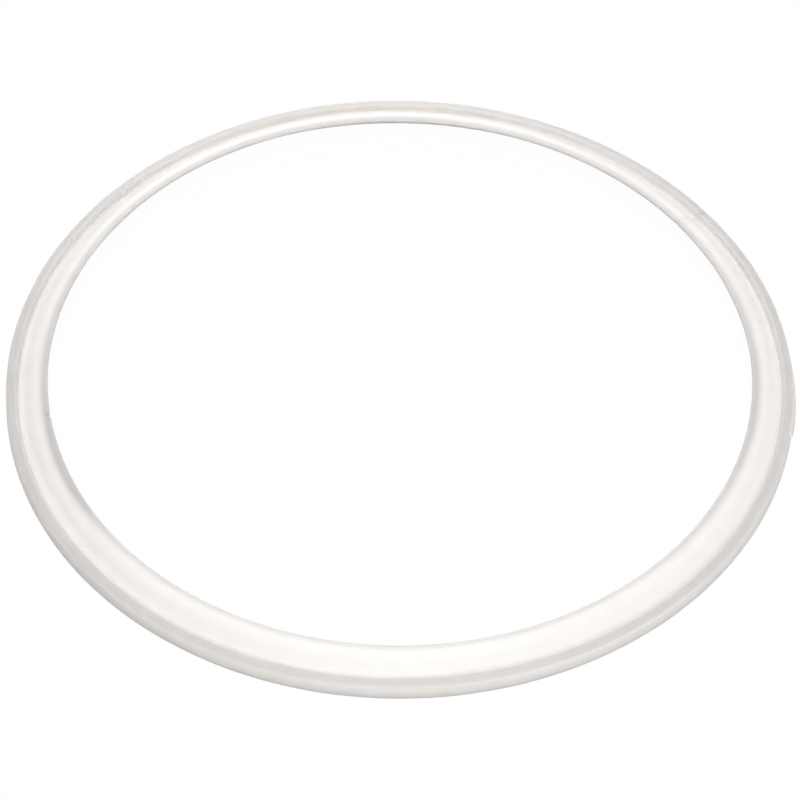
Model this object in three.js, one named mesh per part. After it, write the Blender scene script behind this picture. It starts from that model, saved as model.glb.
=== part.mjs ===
// Sealing ring of a stovetop pressure cooker: one moulding in translucent white silicone.
//
// Millimetres, +Z up. The origin is the ring's centre, on the plane that the ring lies on.
//
// The section, from outside to inside: a low outer wall with a narrow bead on top, a groove
// behind the bead, and a broad lip that climbs inwards and ends in a rounded nose. Under the
// lip a channel opens inwards, so that steam lifts the lip against the lid. Below the channel
// a short flange gives the ring its flat seat.

import * as THREE from "three";

// Outer wall and the bead that stands on it.
const WALL_RADIUS = 120;        // outside of the ring at the wall's shoulder
const WALL_HEIGHT = 5.0;        // from the seat up to the shoulder
const WALL_DRAFT = 0.5;         // how much further out the foot stands than the shoulder
const BEAD_WIDTH = 3.1;         // from the shoulder in to the bead's inner corner
const BEAD_RISE = 0.6;          // how much the bead climbs on its way in
const BEAD_SLANT = 0.5;         // how far the bead's inner side leans in on its way down

// Seat, flange and channel.
const SEAT_WIDTH = 7.2;         // flat underside, from the wall's foot in to the flange's edge
const FLANGE_THICKNESS = 1.4;
const CHANNEL_DEPTH = 2.8;      // from the flange's edge out to the closed end
const CHANNEL_HEIGHT = 0.6;     // at the closed end

// Lip, from the groove behind the bead to the ring's inner edge.
const LIP_ROOT = 1.4;           // between the channel's closed end and the groove
const LIP_REACH = 9.3;          // from the groove in to the inner edge
const LIP_RISE = 4.2;           // from the groove up to the crest
const CREST_WIDTH = 3.2;        // gently falling band between the climb and the inner edge
const CREST_FALL = 0.7;         // how much that band drops towards the edge
const NOSE_THICKNESS = 1.1;     // of the lip at its inner edge, where the lip is thinnest
const NOSE_UNDERCUT = 0.2;      // how far the nose's lower corner stands back

// Rounding: the length that each rounded corner takes from the sides beside it.
const EDGE_ROUND = 0.5;
const SHOULDER_ROUND = 1.2;
const BEAD_ROUND = 0.8;
const GROOVE_ROUND = 0.9;
const NOSE_ROUND = 0.7;
const CREST_ROUND = 2.6;

// Facets.
const FACETS_AROUND = 80;
const FACETS_PER_CORNER = 3;
const LARGEST_SHARE = 0.45;     // of a side that the rounding of one corner may take

const SILICONE = new THREE.MeshStandardMaterial({
  color: 0xeae8e3,
  roughness: 0.4,
  metalness: 0,
});

function corner(radius, height, round) {
  return { point: new THREE.Vector2(radius, height), round };
}

// Corners of the section, in radius and height, from the wall's foot up and round to the seat.
function sectionCorners() {
  const foot = WALL_RADIUS + WALL_DRAFT;
  const beadInside = WALL_RADIUS - BEAD_WIDTH;
  const groove = beadInside - BEAD_SLANT;
  const grooveHeight = FLANGE_THICKNESS + CHANNEL_HEIGHT + LIP_ROOT;
  const innerEdge = groove - LIP_REACH;
  const crestHeight = grooveHeight + LIP_RISE;
  const noseHeight = crestHeight - CREST_FALL;
  const flangeEdge = foot - SEAT_WIDTH;
  const channelEnd = flangeEdge + CHANNEL_DEPTH;
  const channelRoof = FLANGE_THICKNESS + CHANNEL_HEIGHT;
  return [
    corner(foot, 0, EDGE_ROUND),
    corner(WALL_RADIUS, WALL_HEIGHT, SHOULDER_ROUND),
    corner(beadInside, WALL_HEIGHT + BEAD_RISE, BEAD_ROUND),
    corner(groove, grooveHeight, GROOVE_ROUND),
    corner(innerEdge + CREST_WIDTH, crestHeight, CREST_ROUND),
    corner(innerEdge, noseHeight, NOSE_ROUND),
    corner(innerEdge + NOSE_UNDERCUT, noseHeight - NOSE_THICKNESS, EDGE_ROUND),
    corner(channelEnd, channelRoof, EDGE_ROUND),
    corner(channelEnd, FLANGE_THICKNESS, EDGE_ROUND),
    corner(flangeEdge, FLANGE_THICKNESS, EDGE_ROUND),
    corner(flangeEdge, 0, EDGE_ROUND),
  ];
}

// Where the rounding of a corner leaves the side that runs to a neighbouring corner.
function roundingEnd({ point, round }, neighbour) {
  const side = neighbour.point.clone().sub(point);
  const length = Math.min(round, side.length() * LARGEST_SHARE);
  return side.setLength(length).add(point);
}

function roundedOutline(corners) {
  const outline = corners.flatMap((here, index) => {
    const before = corners.at(index - 1);
    const after = corners[(index + 1) % corners.length];
    const bend = new THREE.QuadraticBezierCurve(
      roundingEnd(here, before),
      here.point,
      roundingEnd(here, after),
    );
    return bend.getPoints(FACETS_PER_CORNER);
  });
  return [...outline, outline[0].clone()];
}

// The lathe turns its outline about Y, so the ring is laid down to turn about Z.
function sealingRing() {
  const geometry = new THREE.LatheGeometry(roundedOutline(sectionCorners()), FACETS_AROUND);
  geometry.rotateX(Math.PI / 2);
  const ring = new THREE.Mesh(geometry, SILICONE);
  ring.name = "sealing_ring";
  return ring;
}

const object = new THREE.Group();
object.add(sealingRing());

export default object;
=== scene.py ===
import math

import bmesh
import bpy
from mathutils import Euler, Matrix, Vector, noise


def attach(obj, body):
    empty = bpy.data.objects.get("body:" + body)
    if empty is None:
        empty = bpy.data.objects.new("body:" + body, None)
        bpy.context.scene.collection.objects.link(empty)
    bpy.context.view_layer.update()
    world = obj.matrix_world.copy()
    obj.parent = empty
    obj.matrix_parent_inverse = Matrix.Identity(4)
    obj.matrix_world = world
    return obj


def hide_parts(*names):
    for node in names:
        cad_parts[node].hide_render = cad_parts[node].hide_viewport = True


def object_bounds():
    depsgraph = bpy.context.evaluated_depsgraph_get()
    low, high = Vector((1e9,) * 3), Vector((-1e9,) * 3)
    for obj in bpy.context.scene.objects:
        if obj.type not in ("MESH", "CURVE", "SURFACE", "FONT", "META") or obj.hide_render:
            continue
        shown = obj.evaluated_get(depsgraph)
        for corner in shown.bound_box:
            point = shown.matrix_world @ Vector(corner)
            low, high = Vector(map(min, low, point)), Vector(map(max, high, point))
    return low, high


# Sealing ring of a stovetop pressure cooker: one moulding in translucent white silicone.
# Blender works in metres here. Sizes of the moulding are written in millimetres.

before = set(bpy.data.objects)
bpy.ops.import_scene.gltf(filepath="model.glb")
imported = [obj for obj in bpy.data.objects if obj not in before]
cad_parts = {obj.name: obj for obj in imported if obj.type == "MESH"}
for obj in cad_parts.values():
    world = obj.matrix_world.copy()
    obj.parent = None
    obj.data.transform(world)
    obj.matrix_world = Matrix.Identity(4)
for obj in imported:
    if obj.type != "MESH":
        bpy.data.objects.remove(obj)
cad_low, cad_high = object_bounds()

MM = 0.001

# ---------------------------------------------------------------------------------------
# The section, in millimetres. Insets count inwards from the wall's foot, the widest place.
# ---------------------------------------------------------------------------------------

WALL_DRAFT = 0.5            # from the foot in to the shoulder
WALL_HEIGHT = 5.0
BEAD_WIDTH = 3.1
BEAD_RISE = 0.6
BEAD_SLANT = 0.5
SEAT_WIDTH = 7.2
FLANGE_THICKNESS = 1.4
CHANNEL_DEPTH = 2.8
CHANNEL_HEIGHT = 0.6
LIP_ROOT = 1.4
LIP_REACH = 9.3
LIP_RISE = 4.2
CREST_WIDTH = 3.2
CREST_FALL = 0.7
NOSE_THICKNESS = 1.1
NOSE_UNDERCUT = 0.2

EDGE_ROUND = 0.5
SHOULDER_ROUND = 1.2
BEAD_ROUND = 0.8
GROOVE_ROUND = 0.9
NOSE_ROUND = 0.7
CREST_ROUND = 2.6
LARGEST_SHARE = 0.45        # of a side that the rounding of one corner may take

STEPS_AROUND = 960
STEPS_PER_CORNER = 12
STEP_ALONG_SIDE = 0.6       # between points on a straight side

# What the mould and soft rubber leave, in millimetres and degrees.
OUT_OF_ROUND = 0.4          # between the widest and the narrowest place
LOBES = 3                   # widest places round the ring
UNEVENNESS = 0.10
UNEVEN_LENGTH = 14.0        # from one swell of the surface to the next
PARTING_HEIGHT = 4.5        # on the wall, where the two halves of the mould met
PARTING_RIDGE = 0.06
PARTING_SPREAD = 0.24
FLASH_WIDTH = 0.95          # thin fin of rubber that squeezed out between the halves
FLASH_START = 4.0
FLASH_END = -13.4
SPLICE_TURN = 34.0          # where the two ends of the strip were joined
SPLICE_DEPTH = 0.09
SPLICE_SPREAD = 0.80
NICK_TURN = -166.4          # small cut in the nose
NICK_DEPTH = 0.55
NICK_SPREAD = 0.60
NICK_REACH = 1.3            # from the inner edge out to where the cut ends
FINE_STEP = 0.1             # between points round the splice, the nick and the fin's end
FINE_STRETCH = 2.0          # to either side of them

# Where the silicone is more see-through and where shade is painted into its colour, in millimetres,
# degrees and shares of the full white.
SIDE_ROW = -24.0            # painted shade is deepest where the ring crosses this line, left and right
SIDE_SPREAD = 60.0
NOSE_INSET = 11.6           # middle of the band along the nose that takes painted shade
NOSE_SPREAD = 1.5
NOSE_SIDE_SHADE = 0.48
BEAD_INSET = 3.4            # the same on the bead's inner side
BEAD_SPREAD = 0.7
BEAD_SIDE_SHADE = 0.2
PATCH_TURN = -153.0         # a patch of painted shade in the nose, near the nick
PATCH_SPREAD = 22.0
NOSE_PATCH_SHADE = 0.4
SPLICE_CLEARNESS = 1 / 6
FIN_CLEARNESS = 0.75


def section_corners():
    """Corners as (inset from the foot, height, rounding), from the foot up and round to the seat."""
    bead_inside = WALL_DRAFT + BEAD_WIDTH
    groove = bead_inside + BEAD_SLANT
    groove_height = FLANGE_THICKNESS + CHANNEL_HEIGHT + LIP_ROOT
    inner_edge = groove + LIP_REACH
    crest_height = groove_height + LIP_RISE
    nose_height = crest_height - CREST_FALL
    channel_end = SEAT_WIDTH - CHANNEL_DEPTH
    channel_roof = FLANGE_THICKNESS + CHANNEL_HEIGHT
    return [
        (0.0, 0.0, EDGE_ROUND),
        (WALL_DRAFT, WALL_HEIGHT, SHOULDER_ROUND),
        (bead_inside, WALL_HEIGHT + BEAD_RISE, BEAD_ROUND),
        (groove, groove_height, GROOVE_ROUND),
        (inner_edge - CREST_WIDTH, crest_height, CREST_ROUND),
        (inner_edge, nose_height, NOSE_ROUND),
        (inner_edge - NOSE_UNDERCUT, nose_height - NOSE_THICKNESS, EDGE_ROUND),
        (channel_end, channel_roof, EDGE_ROUND),
        (channel_end, FLANGE_THICKNESS, EDGE_ROUND),
        (SEAT_WIDTH, FLANGE_THICKNESS, EDGE_ROUND),
        (SEAT_WIDTH, 0.0, EDGE_ROUND),
    ]


def rounding_end(corner, neighbour):
    """Where the rounding of a corner leaves the side that runs to a neighbouring corner."""
    here = Vector(corner[:2])
    side = Vector(neighbour[:2]) - here
    return here + side.normalized() * min(corner[2], side.length * LARGEST_SHARE)


def bend(start, corner, end):
    """A parabola from start to end that leaves both sides of the corner smoothly."""
    points = []
    for step in range(STEPS_PER_CORNER + 1):
        t = step / STEPS_PER_CORNER
        points.append(start * (1 - t) ** 2 + corner * 2 * t * (1 - t) + end * t ** 2)
    return points


def straight(start, end):
    """Points between start and end, without the two ends."""
    count = max(1, round((end - start).length / STEP_ALONG_SIDE))
    return [start.lerp(end, step / count) for step in range(1, count)]


def section_outline():
    """The closed section as (inset, height)."""
    corners = section_corners()
    outline = []
    for index, corner in enumerate(corners):
        before = corners[index - 1]
        after = corners[(index + 1) % len(corners)]
        start = rounding_end(corner, before)
        end = rounding_end(corner, after)
        outline += bend(start, Vector(corner[:2]), end)
        outline += straight(end, rounding_end(after, corner))
    return outline


def outward(outline):
    """The direction out of the silicone at each point of the section."""
    directions = []
    for index in range(len(outline)):
        along = outline[(index + 1) % len(outline)] - outline[index - 1]
        directions.append(Vector((-along.y, along.x)).normalized())
    return directions


# ---------------------------------------------------------------------------------------
# The ring
# ---------------------------------------------------------------------------------------

MIDDLE_RADIUS = cad_high.x / MM


def turns():
    """Angles round the ring: even steps, with fine ones round the places that need them."""
    special = [math.radians(turn) for turn in (SPLICE_TURN, NICK_TURN, FLASH_END)]
    stretch = FINE_STRETCH / MIDDLE_RADIUS
    steps = round(FINE_STRETCH / FINE_STEP)
    angles = []
    for step in range(STEPS_AROUND):
        turn = 2 * math.pi * step / STEPS_AROUND - math.pi
        if all(abs(turn - place) > stretch for place in special):
            angles.append(turn)
    for place in special:
        angles += [place + stretch * step / steps for step in range(-steps, steps + 1)]
    return sorted(angles)


def swell(distance, spread):
    """A smooth bump, 1 in the middle."""
    return math.exp(-(distance / spread) ** 2)


def beside(turn, place):
    """How far a turn lies from a place, in millimetres round the ring."""
    return (turn - math.radians(place)) * MIDDLE_RADIUS


def flash(turn):
    """How far the fin stands out: it grows slowly and ends torn off."""
    start, end = math.radians(FLASH_START), math.radians(FLASH_END)
    share = (start - turn) / (start - end)
    if 0 < share < 1:
        return FLASH_WIDTH * math.sin(share * math.pi / 2) ** 2
    return FLASH_WIDTH * swell(beside(turn, FLASH_END), 2 * FINE_STEP) if share >= 1 else 0.0


def nick(point, turn, inner_edge):
    """1 in the middle of the cut in the nose, 0 outside it."""
    if point.x < inner_edge - NICK_REACH:
        return 0.0
    return swell(beside(turn, NICK_TURN), NICK_SPREAD)


def fin(point, turn):
    """How far the fin stands out at a point of the section."""
    if point.x > WALL_DRAFT + EDGE_ROUND:
        return 0.0
    return flash(turn) * swell(point.y - PARTING_HEIGHT, PARTING_SPREAD)


def clearness_and_shade(point, turn, inner_edge):
    """How much greyer the colour turns: more see-through silicone at the splice and the thin fin;
    painted shade along the nose and the bead's inner side at the left and right, in a patch of the
    nose, and in the cut.
    """
    spliced = swell(beside(turn, SPLICE_TURN), SPLICE_SPREAD)
    sides = swell(MIDDLE_RADIUS * math.sin(turn) - SIDE_ROW, SIDE_SPREAD)
    patch = swell(beside(turn, PATCH_TURN), PATCH_SPREAD)
    thin = fin(point, turn) / FLASH_WIDTH
    # The nose and bead terms are painted shade, greyer at the left and right and in a patch near the
    # nick.
    return max(
        swell(point.x - NOSE_INSET, NOSE_SPREAD) * (sides * NOSE_SIDE_SHADE + patch * NOSE_PATCH_SHADE),
        swell(point.x - BEAD_INSET, BEAD_SPREAD) * sides * BEAD_SIDE_SHADE,
        spliced * SPLICE_CLEARNESS,
        thin * FIN_CLEARNESS,
        # painted shade in the cut
        nick(point, turn, inner_edge),
    )


def relief(point, turn, inner_edge):
    """How far a point of the skin stands out, in millimetres."""
    spot = Vector((math.cos(turn), math.sin(turn), 0)) * (MIDDLE_RADIUS - point.x)
    spot.z = point.y
    height = UNEVENNESS * (noise.noise(spot / UNEVEN_LENGTH) - 1) / 2
    height -= SPLICE_DEPTH * swell(beside(turn, SPLICE_TURN), SPLICE_SPREAD)
    height -= NICK_DEPTH * nick(point, turn, inner_edge)
    if point.x < WALL_DRAFT + EDGE_ROUND:
        height += PARTING_RIDGE * swell(point.y - PARTING_HEIGHT, PARTING_SPREAD)
    return height + fin(point, turn)


def turned_ring(outline):
    """Turns the section about Z into a closed ring, set inside the solid model's box."""
    least_inset = min(point.x for point in outline)
    inner_edge = max(point.x for point in outline)
    upright = (cad_high.z - cad_low.z) / MM / max(point.y for point in outline)
    directions = outward(outline)
    mesh = bmesh.new()
    across = mesh.verts.layers.float.new("inset")
    # Per point: how see-through the silicone is, with painted shade in it too.
    clear = mesh.verts.layers.float.new("clearness_and_shade")
    loops = []
    for turn in turns():
        narrower = OUT_OF_ROUND * (1 - math.cos(LOBES * turn)) / 2
        loop = []
        for point, direction in zip(outline, directions):
            place = point + direction * relief(point, turn, inner_edge)
            radius = cad_high.x - (place.x - least_inset + narrower) * MM
            height = cad_low.z + place.y * upright * MM
            vertex = mesh.verts.new((radius * math.cos(turn), radius * math.sin(turn), height))
            vertex[across] = point.x
            vertex[clear] = clearness_and_shade(point, turn, inner_edge)
            loop.append(vertex)
        loops.append(loop)
    for step, loop in enumerate(loops):
        following = loops[(step + 1) % len(loops)]
        for index in range(len(outline)):
            after = (index + 1) % len(outline)
            mesh.faces.new((loop[index], following[index], following[after], loop[after]))
    bmesh.ops.recalc_face_normals(mesh, faces=mesh.faces)
    data = bpy.data.meshes.new("silicone_ring")
    mesh.to_mesh(data)
    mesh.free()
    data.shade_smooth()
    ring = bpy.data.objects.new("silicone_ring", data)
    bpy.context.scene.collection.objects.link(ring)
    return ring


# ---------------------------------------------------------------------------------------
# Materials
# ---------------------------------------------------------------------------------------

def linear(colour):
    """An sRGB hex colour as linear RGBA."""
    channels = [int(colour[start:start + 2], 16) / 255 for start in (1, 3, 5)]
    return [c / 12.92 if c <= 0.04045 else ((c + 0.055) / 1.055) ** 2.4 for c in channels] + [1.0]


def add(tree, kind, settings=(), links=()):
    """Adds a node, sets its properties or inputs, and links its inputs."""
    node = tree.nodes.new(kind)
    for name, value in dict(settings).items():
        if isinstance(name, str) and hasattr(node, name):
            setattr(node, name, value)
        else:
            node.inputs[name].default_value = value
    for name, socket in dict(links).items():
        tree.links.new(socket, node.inputs[name])
    return node


def new_material(name):
    material = bpy.data.materials.new(name)
    material.use_nodes = True
    material.node_tree.nodes.clear()
    return material, material.node_tree


# How white the silicone looks across the section, from the wall's foot in to the nose, as
# (inset in millimetres, share of the full white). The broad lip is the whitest. The bead and the
# nose stand free on both sides, so light passes out of them and they look greyer. The ramp also
# holds painted shade: a dark line at the foot where the ring meets the table, and grey on the
# bead's inner side down into the groove.
MILKINESS_AND_SHADE = [(0.0, 0.44), (0.12, 0.88), (0.40, 0.96), (0.9, 0.36), (1.6, 0.24), (3.3, 0.23),
             (4.1, 0.62), (5.3, 0.98), (6.2, 1.0), (8.2, 0.98), (9.5, 0.90), (10.9, 0.80),
             (12.1, 0.50), (12.8, 0.34), (13.4, 0.16)]
SECTION_WIDTH = 14.0        # a little more than the ramp needs

# Sizes in the silicone, in millimetres.
CLOUD_SIZE = 7.0            # of the faint clouds in it
DRIFT_SIZE = 22.0           # of the slow drift between a warmer and a cooler white
GRAIN_SIZE = 1.1            # of the mould's satin grain, coarser than the real one so that it shows
GRAIN_HEIGHT = 0.03
LIGHT_DEPTH = 3.0           # how far light goes in


def moulded_silicone():
    """Silicone rubber, moulded: satin and soft-edged, because light goes a few millimetres in. Its
    colour also carries painted shade, across the section and round the ring.
    """
    material, tree = new_material("moulded_translucent_silicone")
    inset = add(tree, "ShaderNodeAttribute", {"attribute_name": "inset"})
    across = add(tree, "ShaderNodeMapRange", {"From Max": SECTION_WIDTH},
                 {"Value": inset.outputs["Fac"]})
    ramp = add(tree, "ShaderNodeValToRGB", links={"Fac": across.outputs["Result"]})
    stops = ramp.color_ramp.elements
    for (place, share), stop in zip(MILKINESS_AND_SHADE, [stops[0], stops[1]]):
        stop.position = place / SECTION_WIDTH
        stop.color = (share, share, share, 1)
    for place, share in MILKINESS_AND_SHADE[2:]:
        stops.new(place / SECTION_WIDTH).color = (share, share, share, 1)
    place = add(tree, "ShaderNodeTexCoord").outputs["Object"]
    clouds = add(tree, "ShaderNodeTexNoise",
                 {"Scale": 1 / (CLOUD_SIZE * MM), "Detail": 3.0, "Roughness": 0.55},
                 {"Vector": place})
    cloudy = add(tree, "ShaderNodeMapRange", {"To Min": -0.10, "To Max": 0.10},
                 {"Value": clouds.outputs["Fac"]})
    # See-through silicone at the splice and the fin, and painted shade along the nose, the bead and
    # in the cut.
    clear = add(tree, "ShaderNodeAttribute", {"attribute_name": "clearness_and_shade"})
    clouds_minus_clear_and_shade = add(tree, "ShaderNodeMath", {"operation": "SUBTRACT"},
                  {0: cloudy.outputs["Result"], 1: clear.outputs["Fac"]})
    # The ramp and the attribute carry painted shade as well as the silicone's own greys.
    whiteness_with_shade = add(tree, "ShaderNodeMath", {"operation": "ADD", "use_clamp": True},
                {0: ramp.outputs["Color"], 1: clouds_minus_clear_and_shade.outputs[0]})
    # The grey end stands for thin, see-through silicone and for painted shade.
    white_and_shade_colour = add(tree, "ShaderNodeMix",
               {"data_type": "RGBA", 6: linear("#BEBDBB"), 7: linear("#FBF8F4")},
               {0: whiteness_with_shade.outputs[0]})
    drift = add(tree, "ShaderNodeTexNoise",
                {"Scale": 1 / (DRIFT_SIZE * MM), "Detail": 1.0},
                {"Vector": place})
    tint = add(tree, "ShaderNodeMix",
               {"data_type": "RGBA", 6: linear("#FFFAF8"), 7: linear("#FAFCFF")},
               {0: drift.outputs["Fac"]})
    colour = add(tree, "ShaderNodeMix",
                 {"data_type": "RGBA", "blend_type": "MULTIPLY", 0: 1.0},
                 {6: white_and_shade_colour.outputs[2], 7: tint.outputs[2]})
    satin = add(tree, "ShaderNodeMapRange", {"To Min": 0.38, "To Max": 0.54},
                {"Value": clouds.outputs["Fac"]})
    grain = add(tree, "ShaderNodeTexNoise",
                {"Scale": 1 / (GRAIN_SIZE * MM), "Detail": 2.0, "Roughness": 0.5},
                {"Vector": place})
    relief_of_grain = add(tree, "ShaderNodeBump",
                          {"Strength": 0.3, "Distance": GRAIN_HEIGHT * MM},
                          {"Height": grain.outputs["Fac"]})
    shader = add(tree, "ShaderNodeBsdfPrincipled",
                 {"IOR": 1.41, "Subsurface Weight": 1.0,
                  "Subsurface Radius": (1.0, 0.99, 0.98), "Subsurface Scale": LIGHT_DEPTH * MM},
                 {"Base Color": colour.outputs[2], "Roughness": satin.outputs["Result"],
                  "Normal": relief_of_grain.outputs["Normal"]})
    add(tree, "ShaderNodeOutputMaterial", links={"Surface": shader.outputs["BSDF"]})
    return material


def seen_share(tree):
    """1 for what is seen straight, mirrored or through clear material, 0 for what only lights."""
    path = add(tree, "ShaderNodeLightPath")
    straight_or_mirrored = add(tree, "ShaderNodeMath", {"operation": "MAXIMUM"},
                               {0: path.outputs["Is Camera Ray"], 1: path.outputs["Is Glossy Ray"]})
    seen = add(tree, "ShaderNodeMath", {"operation": "MAXIMUM"},
               {0: straight_or_mirrored.outputs[0], 1: path.outputs["Is Transmission Ray"]})
    return seen.outputs[0]


TABLE_WHITENESS = 0.97      # the rest of what is seen of the table is matt and takes the shadow


def white_table():
    """A matt white table that stays white to the eye and keeps a part of the shadow."""
    material, tree = new_material("matt_white_table")
    share = add(tree, "ShaderNodeMath", {"operation": "MULTIPLY", 1: TABLE_WHITENESS},
                {0: seen_share(tree)})
    matt = add(tree, "ShaderNodeBsdfDiffuse", {"Color": linear("#EEEEEE")})
    glow = add(tree, "ShaderNodeEmission", {"Color": linear("#FFFFFF"), "Strength": 1.0})
    both = add(tree, "ShaderNodeMixShader", links={0: share.outputs[0],
                                                   1: matt.outputs[0], 2: glow.outputs[0]})
    add(tree, "ShaderNodeOutputMaterial", links={"Surface": both.outputs[0]})
    return material


# ---------------------------------------------------------------------------------------
# Table, light and camera
# ---------------------------------------------------------------------------------------

TABLE_SIDE = 6.0


def table():
    half = TABLE_SIDE / 2
    data = bpy.data.meshes.new("table")
    corners = [(-half, -half, 0), (half, -half, 0), (half, half, 0), (-half, half, 0)]
    data.from_pydata(corners, [], [(0, 1, 2, 3)])
    data.materials.append(white_table())
    top = bpy.data.objects.new("table", data)
    bpy.context.scene.collection.objects.link(top)


def white_room():
    """White wherever it is seen, with no light of its own on the object."""
    world = bpy.data.worlds.new("white_room")
    world.use_nodes = True
    tree = world.node_tree
    tree.nodes.clear()
    sky = add(tree, "ShaderNodeBackground", {"Color": linear("#FFFFFF")},
              {"Strength": seen_share(tree)})
    add(tree, "ShaderNodeOutputWorld", links={"Surface": sky.outputs[0]})
    bpy.context.scene.world = world


SOFTBOX_SIDE = 0.8


def softbox(name, place, power):
    """A square softbox that faces the ring."""
    light = bpy.data.lights.new(name, "AREA")
    light.size = SOFTBOX_SIDE
    light.energy = power
    lamp = bpy.data.objects.new(name, light)
    lamp.location = place
    lamp.rotation_mode = "QUATERNION"
    lamp.rotation_quaternion = (-Vector(place)).to_track_quat("-Z", "Y")
    bpy.context.scene.collection.objects.link(lamp)


VIEW_DISTANCE = 0.72
VIEW_ELEVATION = 48.1       # degrees above the table
VIEW_ROLL = 0.68            # degrees
LENS = 105.4                # millimetres, on Blender's 36 mm sensor


def camera():
    data = bpy.data.cameras.new("camera")
    data.lens = LENS
    data.shift_x = 0.0006
    data.shift_y = -0.0354
    eye = bpy.data.objects.new("camera", data)
    rise = math.radians(VIEW_ELEVATION)
    eye.location = (0, -VIEW_DISTANCE * math.cos(rise), VIEW_DISTANCE * math.sin(rise))
    aim = Euler((math.pi / 2 - rise, 0, 0)).to_matrix()
    roll = Euler((0, 0, math.radians(VIEW_ROLL))).to_matrix()
    eye.rotation_euler = (aim @ roll).to_euler()
    bpy.context.scene.collection.objects.link(eye)
    bpy.context.scene.camera = eye


# ---------------------------------------------------------------------------------------
# The scene
# ---------------------------------------------------------------------------------------

def main():
    camera()
    table()
    white_room()
    softbox("high_front_softbox", (0.0, -0.80, 1.15), 7.3)
    softbox("right_front_softbox", (0.78, -1.0, 0.59), 3.3)
    softbox("back_softbox", (-0.18, 1.26, 0.59), 8.0)
    softbox("overhead_softbox", (0.0, 0.0, 1.4), 12.5)
    ring = turned_ring(section_outline())
    ring.data.materials.append(moulded_silicone())
    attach(ring, "root")
    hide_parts("sealing_ring")
    bpy.context.scene.view_settings.view_transform = "Standard"


main()
